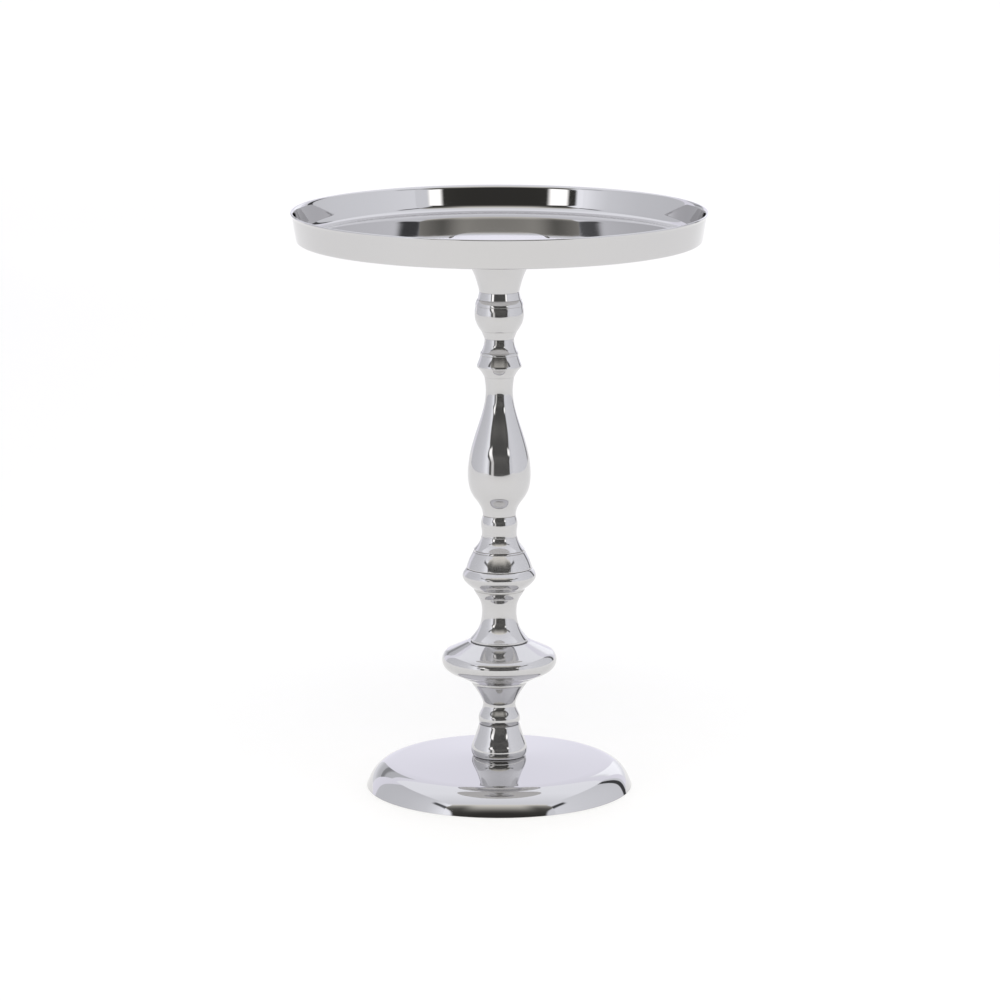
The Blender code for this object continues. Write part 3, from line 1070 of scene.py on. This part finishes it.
def spring_washer():
    """A split ring of square wire."""
    low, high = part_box("base_spring_washer")
    inner, outer = 0.0057, high.x - 0.00005
    under, over = low.z, low.z + 0.0020
    soft = 0.00015
    corners = [
        (inner + soft, under), (outer - soft, under), (outer, under + soft), (outer, over - soft),
        (outer - soft, over), (inner + soft, over), (inner, over - soft), (inner, under + soft),
    ]
    bm = bmesh.new()
    coil(bm, corners, math.radians(344), rise=0.0006, steps=80)
    turn = Matrix.Rotation(math.radians(8), 3, "Z")
    bmesh.ops.rotate(bm, verts=bm.verts, cent=(0, 0, 0), matrix=turn)
    return finish_mesh("spring_steel_washer", bm, spring_steel, sharp=25)


stands_for(tie_rod(), "tie_rod")
stands_for(spring_washer(), "base_spring_washer")

# %% [markdown]
# ## Nuts
# A nut is a hexagon bridged to its round bore and extruded. The hexagon is divided finely, so
# that the cone that takes down its corners at both ends leaves the curved edge seen on every
# real nut.

# %% Hexagon nuts
NUT_FLATS = 0.0159
NUT_CHAMFER = math.radians(30)
COUNTERSINK = 0.0004
ROUND = 48


def hexagon_nut(name, node):
    """A nut as tall as its node, with its corners taken down and a countersunk bore."""
    low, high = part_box(node)
    tall = high.z - low.z
    face_r = NUT_FLATS / 2 - 0.0004
    corner_r = NUT_FLATS / 2 / math.cos(math.pi / 6)
    bm = bmesh.new()
    loops = []
    for radius, count in (
        (THREAD_BORE, ROUND), (THREAD_BORE + COUNTERSINK, ROUND), (face_r, ROUND), (corner_r, 6),
    ):
        ring = bmesh.ops.create_circle(bm, cap_ends=False, radius=radius, segments=count)
        edges = list({e for v in ring["verts"] for e in v.link_edges})
        if count < ROUND:
            cut = bmesh.ops.subdivide_edges(bm, edges=edges, cuts=ROUND // count - 1)
            edges = list({e for e in cut["geom_inner"] + cut["geom_split"] + edges
                          if isinstance(e, bmesh.types.BMEdge) and e.is_valid})
        loops.append(edges)
    for a, b in zip(loops, loops[1:]):
        bmesh.ops.bridge_loops(bm, edges=a + b)
    raised = bmesh.ops.extrude_face_region(bm, geom=bm.faces[:], use_keep_orig=True)
    top = [v for v in raised["geom"] if isinstance(v, bmesh.types.BMVert)]
    bmesh.ops.translate(bm, verts=top, vec=(0, 0, tall))
    for vert in bm.verts:
        reach = math.hypot(vert.co.x, vert.co.y)
        inward = 1 if vert.co.z < tall / 2 else -1
        if reach > face_r + 1e-5:
            vert.co.z += inward * (reach - face_r) * math.tan(NUT_CHAMFER)
        elif reach < THREAD_BORE + 1e-5:
            vert.co.z += inward * COUNTERSINK
    bmesh.ops.translate(bm, verts=bm.verts, vec=(0, 0, low.z))
    return finish_mesh(name, bm, zinc, sharp=25)


for end in ("top", "base"):
    stands_for(hexagon_nut(f"zinc_{end}_nut", f"{end}_nut"), f"{end}_nut")

# %% [markdown]
# ## The studio
# A mirror has no look of its own: it shows the room. The room here is a tent of pale cloth round
# the table, white behind and overhead and pale grey at the sides. Its front is open to a dark
# room, where the camera stands, with a slanting soft light in its left half and a short one on
# its right. The cloths aren't shown to the camera itself, only to the metal. Each one glows by a
# small graph of its own: levels that change along it, and bands with soft edges.

# %% Glowing cloths
def glowing(name, corners, paint):
    """A flat cloth through four corners that glows with the colour that paint works out."""
    mat = bpy.data.materials.new(name)
    mat.use_nodes = True
    tree = mat.node_tree
    tree.nodes.remove(tree.nodes["Principled BSDF"])
    place = add(tree, "TexCoord", out="Object")
    x, y, z = add(tree, "SeparateXYZ", in0=place).node.outputs
    glow = add(tree, "Emission", Color=paint(tree, x, y, z))
    tree.links.new(glow, tree.nodes["Material Output"].inputs["Surface"])
    bm = bmesh.new()
    bm.faces.new([bm.verts.new(c) for c in corners])
    cloth = finish_mesh(name, bm, mat, closed=False)
    cloth.visible_camera = False


def band(tree, value, low, high, soft):
    """1 between low and high, falling to 0 over a soft width at each end."""
    rise = math_node(tree, "SUBTRACT", value, low)
    fall = math_node(tree, "SUBTRACT", high, value)
    return times(tree, span(tree, rise, -soft, soft), span(tree, fall, -soft, soft))


def along(tree, value, *stops):
    """A level that follows (place, level) stops in straight runs, as value goes along them."""
    level = stops[0][1]
    for (low, a), (high, b) in zip(stops, stops[1:]):
        run = add(tree, "MapRange", in0=value, in1=low, in2=high, in3=0.0, in4=b - a)
        level = math_node(tree, "ADD", level, run)
    return level


def tint(tree, level, colour):
    """A colour scaled by a level."""
    return add(tree, "VectorMath", operation="SCALE", in0=colour, Scale=level)


def under_top(tree, y, z):
    """1 high up at the front of a side cloth, where the dark opening wraps round."""
    return times(tree, band(tree, y, -3.2, -1.40, 0.22), band(tree, z, 2.25, 2.72, 0.12))


FRONT = -2.60
SIDE = 3.20
TOP = 3.40
BACK_TOP = 2.40
WARM = (1.03, 1.0, 0.93)
WHITE = (1.0, 0.99, 0.98)
COOL = (0.98, 0.99, 1.05)


def front_cloth(tree, x, y, z):
    """Pale cloth with the dark opening and the two soft lights."""
    centre = along(
        tree, z, (0.5, 0.05), (0.9, 0.09), (1.05, 0.04), (1.5, 0.045), (1.65, 0.09), (1.8, 0.18),
        (2.0, 0.33), (2.2, 0.47), (2.6, 0.70), (3.2, 0.93),
    )
    beside = along(tree, z, (1.6, 0.05), (2.2, 0.12), (2.8, 0.38), (3.3, 0.9))
    middle = band(tree, x, -1.45, 1.45, 0.55)
    room = mix_colour(tree, middle, tint(tree, beside, WARM), tint(tree, centre, WARM))

    flare = ((1.55, 2.30), (1.90, 2.60), (2.30, 3.10), (2.62, 3.40), (2.85, 2.95))
    mirrored = [(height, -reach) for height, reach in flare]
    right = along(tree, z, (0.80, 2.10), (1.15, 2.40), (1.40, 2.35), *flare)
    left = along(tree, z, (0.80, -2.00), (1.10, -2.80), (1.40, -2.75), *mirrored)
    opening = band(tree, x, left, right, 0.12)
    glow = band(tree, x, -3.4, -2.45, 0.25)
    pale = times(tree, glow, 0.36, 0.90)
    cloth = mix_colour(tree, opening, tint(tree, pale, COOL), room)

    strip_middle = along(tree, z, (0.70, -1.22), (1.20, -1.90))
    strip_half = along(tree, z, (0.70, 0.26), (1.20, 0.40))
    strip_low = math_node(tree, "SUBTRACT", strip_middle, strip_half)
    strip_high = math_node(tree, "ADD", strip_middle, strip_half)
    strip = band(tree, x, strip_low, strip_high, 0.11)
    strip = times(tree, strip, band(tree, z, -0.2, 1.42, 0.07))
    strip_level = along(tree, z, (0.80, 0.85), (1.12, 1.75))
    cloth = mix_colour(tree, strip, cloth, tint(tree, strip_level, WHITE))

    short = band(tree, x, 1.80, 2.40, 0.10)
    short = times(tree, short, band(tree, z, 1.10, 1.42, 0.07))
    return mix_colour(tree, short, cloth, tint(tree, 1.7, WHITE))


def left_cloth(tree, x, y, z):
    """Pale at the front and greyer towards the back."""
    level = along(tree, y, (-2.4, 1.18), (-1.9, 1.02), (-1.3, 0.89), (0.0, 0.80), (2.0, 0.75))
    kept = times(tree, under_top(tree, y, z), -0.88, 1.0)
    return tint(tree, times(tree, level, kept), COOL)


def right_cloth(tree, x, y, z):
    """Bright at the front, with a dark doorway towards the back."""
    level = along(tree, y, (-2.4, 1.0), (-0.6, 0.93), (1.4, 0.88), (2.8, 0.83))
    door = band(tree, y, 3.05, 3.9, 0.08)
    dark = math_node(tree, "MAXIMUM", under_top(tree, y, z), door)
    kept = times(tree, dark, -0.92, 1.0)
    return tint(tree, times(tree, level, kept), COOL)


def back_left_cloth(tree, x, y, z):
    """A grey cloth behind on the left, darker above."""
    level = along(
        tree, z, (0.3, 0.9), (0.8, 0.66), (1.15, 0.62), (1.25, 0.32), (1.5, 0.32), (1.7, 0.62),
        (2.2, 0.66),
    )
    return tint(tree, level, COOL)


def back_right_cloth(tree, x, y, z):
    """A brighter patch behind on the right."""
    return tint(tree, along(tree, z, (0.3, 1.0), (0.8, 1.30), (2.0, 1.30), (2.4, 1.0)), COOL)


def ceiling_cloth(tree, x, y, z):
    """The top of the tent, a little brighter towards the back."""
    return tint(tree, along(tree, y, (-2.0, 0.95), (0.6, 1.14)), COOL)


def upright(name, start, end, top, paint):
    """A standing cloth between two places on the floor."""
    (x0, y0), (x1, y1) = start, end
    glowing(name, [(x0, y0, 0), (x1, y1, 0), (x1, y1, top), (x0, y0, top)], paint)


upright("front_cloth", (-SIDE, FRONT), (SIDE, FRONT), TOP, front_cloth)
upright("left_cloth", (-SIDE, FRONT), (-SIDE, 2.90), TOP, left_cloth)
upright("right_cloth", (SIDE, FRONT), (SIDE, 4.50), TOP, right_cloth)
upright("back_left_cloth", (-2.34, 3.60), (-0.85, 3.60), BACK_TOP, back_left_cloth)
upright("back_right_cloth", (0.85, 4.00), (2.15, 4.00), BACK_TOP, back_right_cloth)
glowing(
    "ceiling_cloth",
    [(-SIDE, FRONT, TOP), (SIDE, FRONT, TOP), (SIDE, 4, TOP), (-SIDE, 4, TOP)], ceiling_cloth,
)
print("cloths hung", FRONT, SIDE, TOP)

# %% [markdown]
# ## A soft light in front
# One wide soft light hangs over the floor in front of the table. It brightens the floor there,
# which the front of the tray and the undersides of the turnings show, but it has no reflection
# of its own.

# %% Front light
front_lamp = bpy.data.lights.new("front_lamp", "AREA")
front_lamp.shape = "DISK"
front_lamp.size = 1.6
front_lamp.energy = 20.0
front_lamp.color = (1.0, 0.985, 0.94)
front_light = bpy.data.objects.new("front_lamp", front_lamp)
front_light.location = (0.0, -1.35, 2.3)
front_light.visible_glossy = False
front_light.visible_camera = False
bpy.context.collection.objects.link(front_light)
print("front lamp", front_lamp.energy, "W")

# %% [markdown]
# ## Floor and background
# The floor is plain white board. It glows a little by itself, as thin board over a light does, so
# that the table stands on it almost without a shadow. Its underside is clear, so that the felt
# and the hardware can be looked at from below. The background is the same even white.

# %% Floor and background
world = bpy.data.worlds.new("white_tent")
world.use_nodes = True
sky = world.node_tree.nodes["Background"]
sky.inputs["Color"].default_value = (1.0, 0.99, 1.10, 1)
sky.inputs["Strength"].default_value = 1.0
bpy.context.scene.world = world

floor_bm = bmesh.new()
bmesh.ops.create_grid(floor_bm, x_segments=1, y_segments=1, size=12)
bmesh.ops.translate(floor_bm, verts=floor_bm.verts, vec=(0, 0, -0.0004))
floor_mat, floor_tree, floor_shader, floor_place = start_material(
    "pale_floor", 0.0, Roughness=0.6, Specular_IOR_Level=0.2, Emission_Strength=0.53,
    Emission_Color=(1.0, 0.99, 0.96, 1),
)
speckle = cloud(floor_tree, floor_place, 30.0, 2.0)
board = mix_colour(floor_tree, speckle, (0.44, 0.44, 0.435, 1), (0.46, 0.46, 0.455, 1))
feed(floor_shader, Base_Color=board)
below = add(floor_tree, "NewGeometry", out="Backfacing")
clear = add(floor_tree, "BsdfTransparent")
one_sided = add(floor_tree, "MixShader", in0=below, in1=floor_shader.outputs[0], in2=clear)
floor_out = floor_tree.nodes["Material Output"]
floor_tree.links.new(one_sided, floor_out.inputs["Surface"])
floor = finish_mesh("floor", floor_bm, floor_mat, closed=False)
bpy.context.scene.view_settings.view_transform = "Standard"
print("floor and background ready")
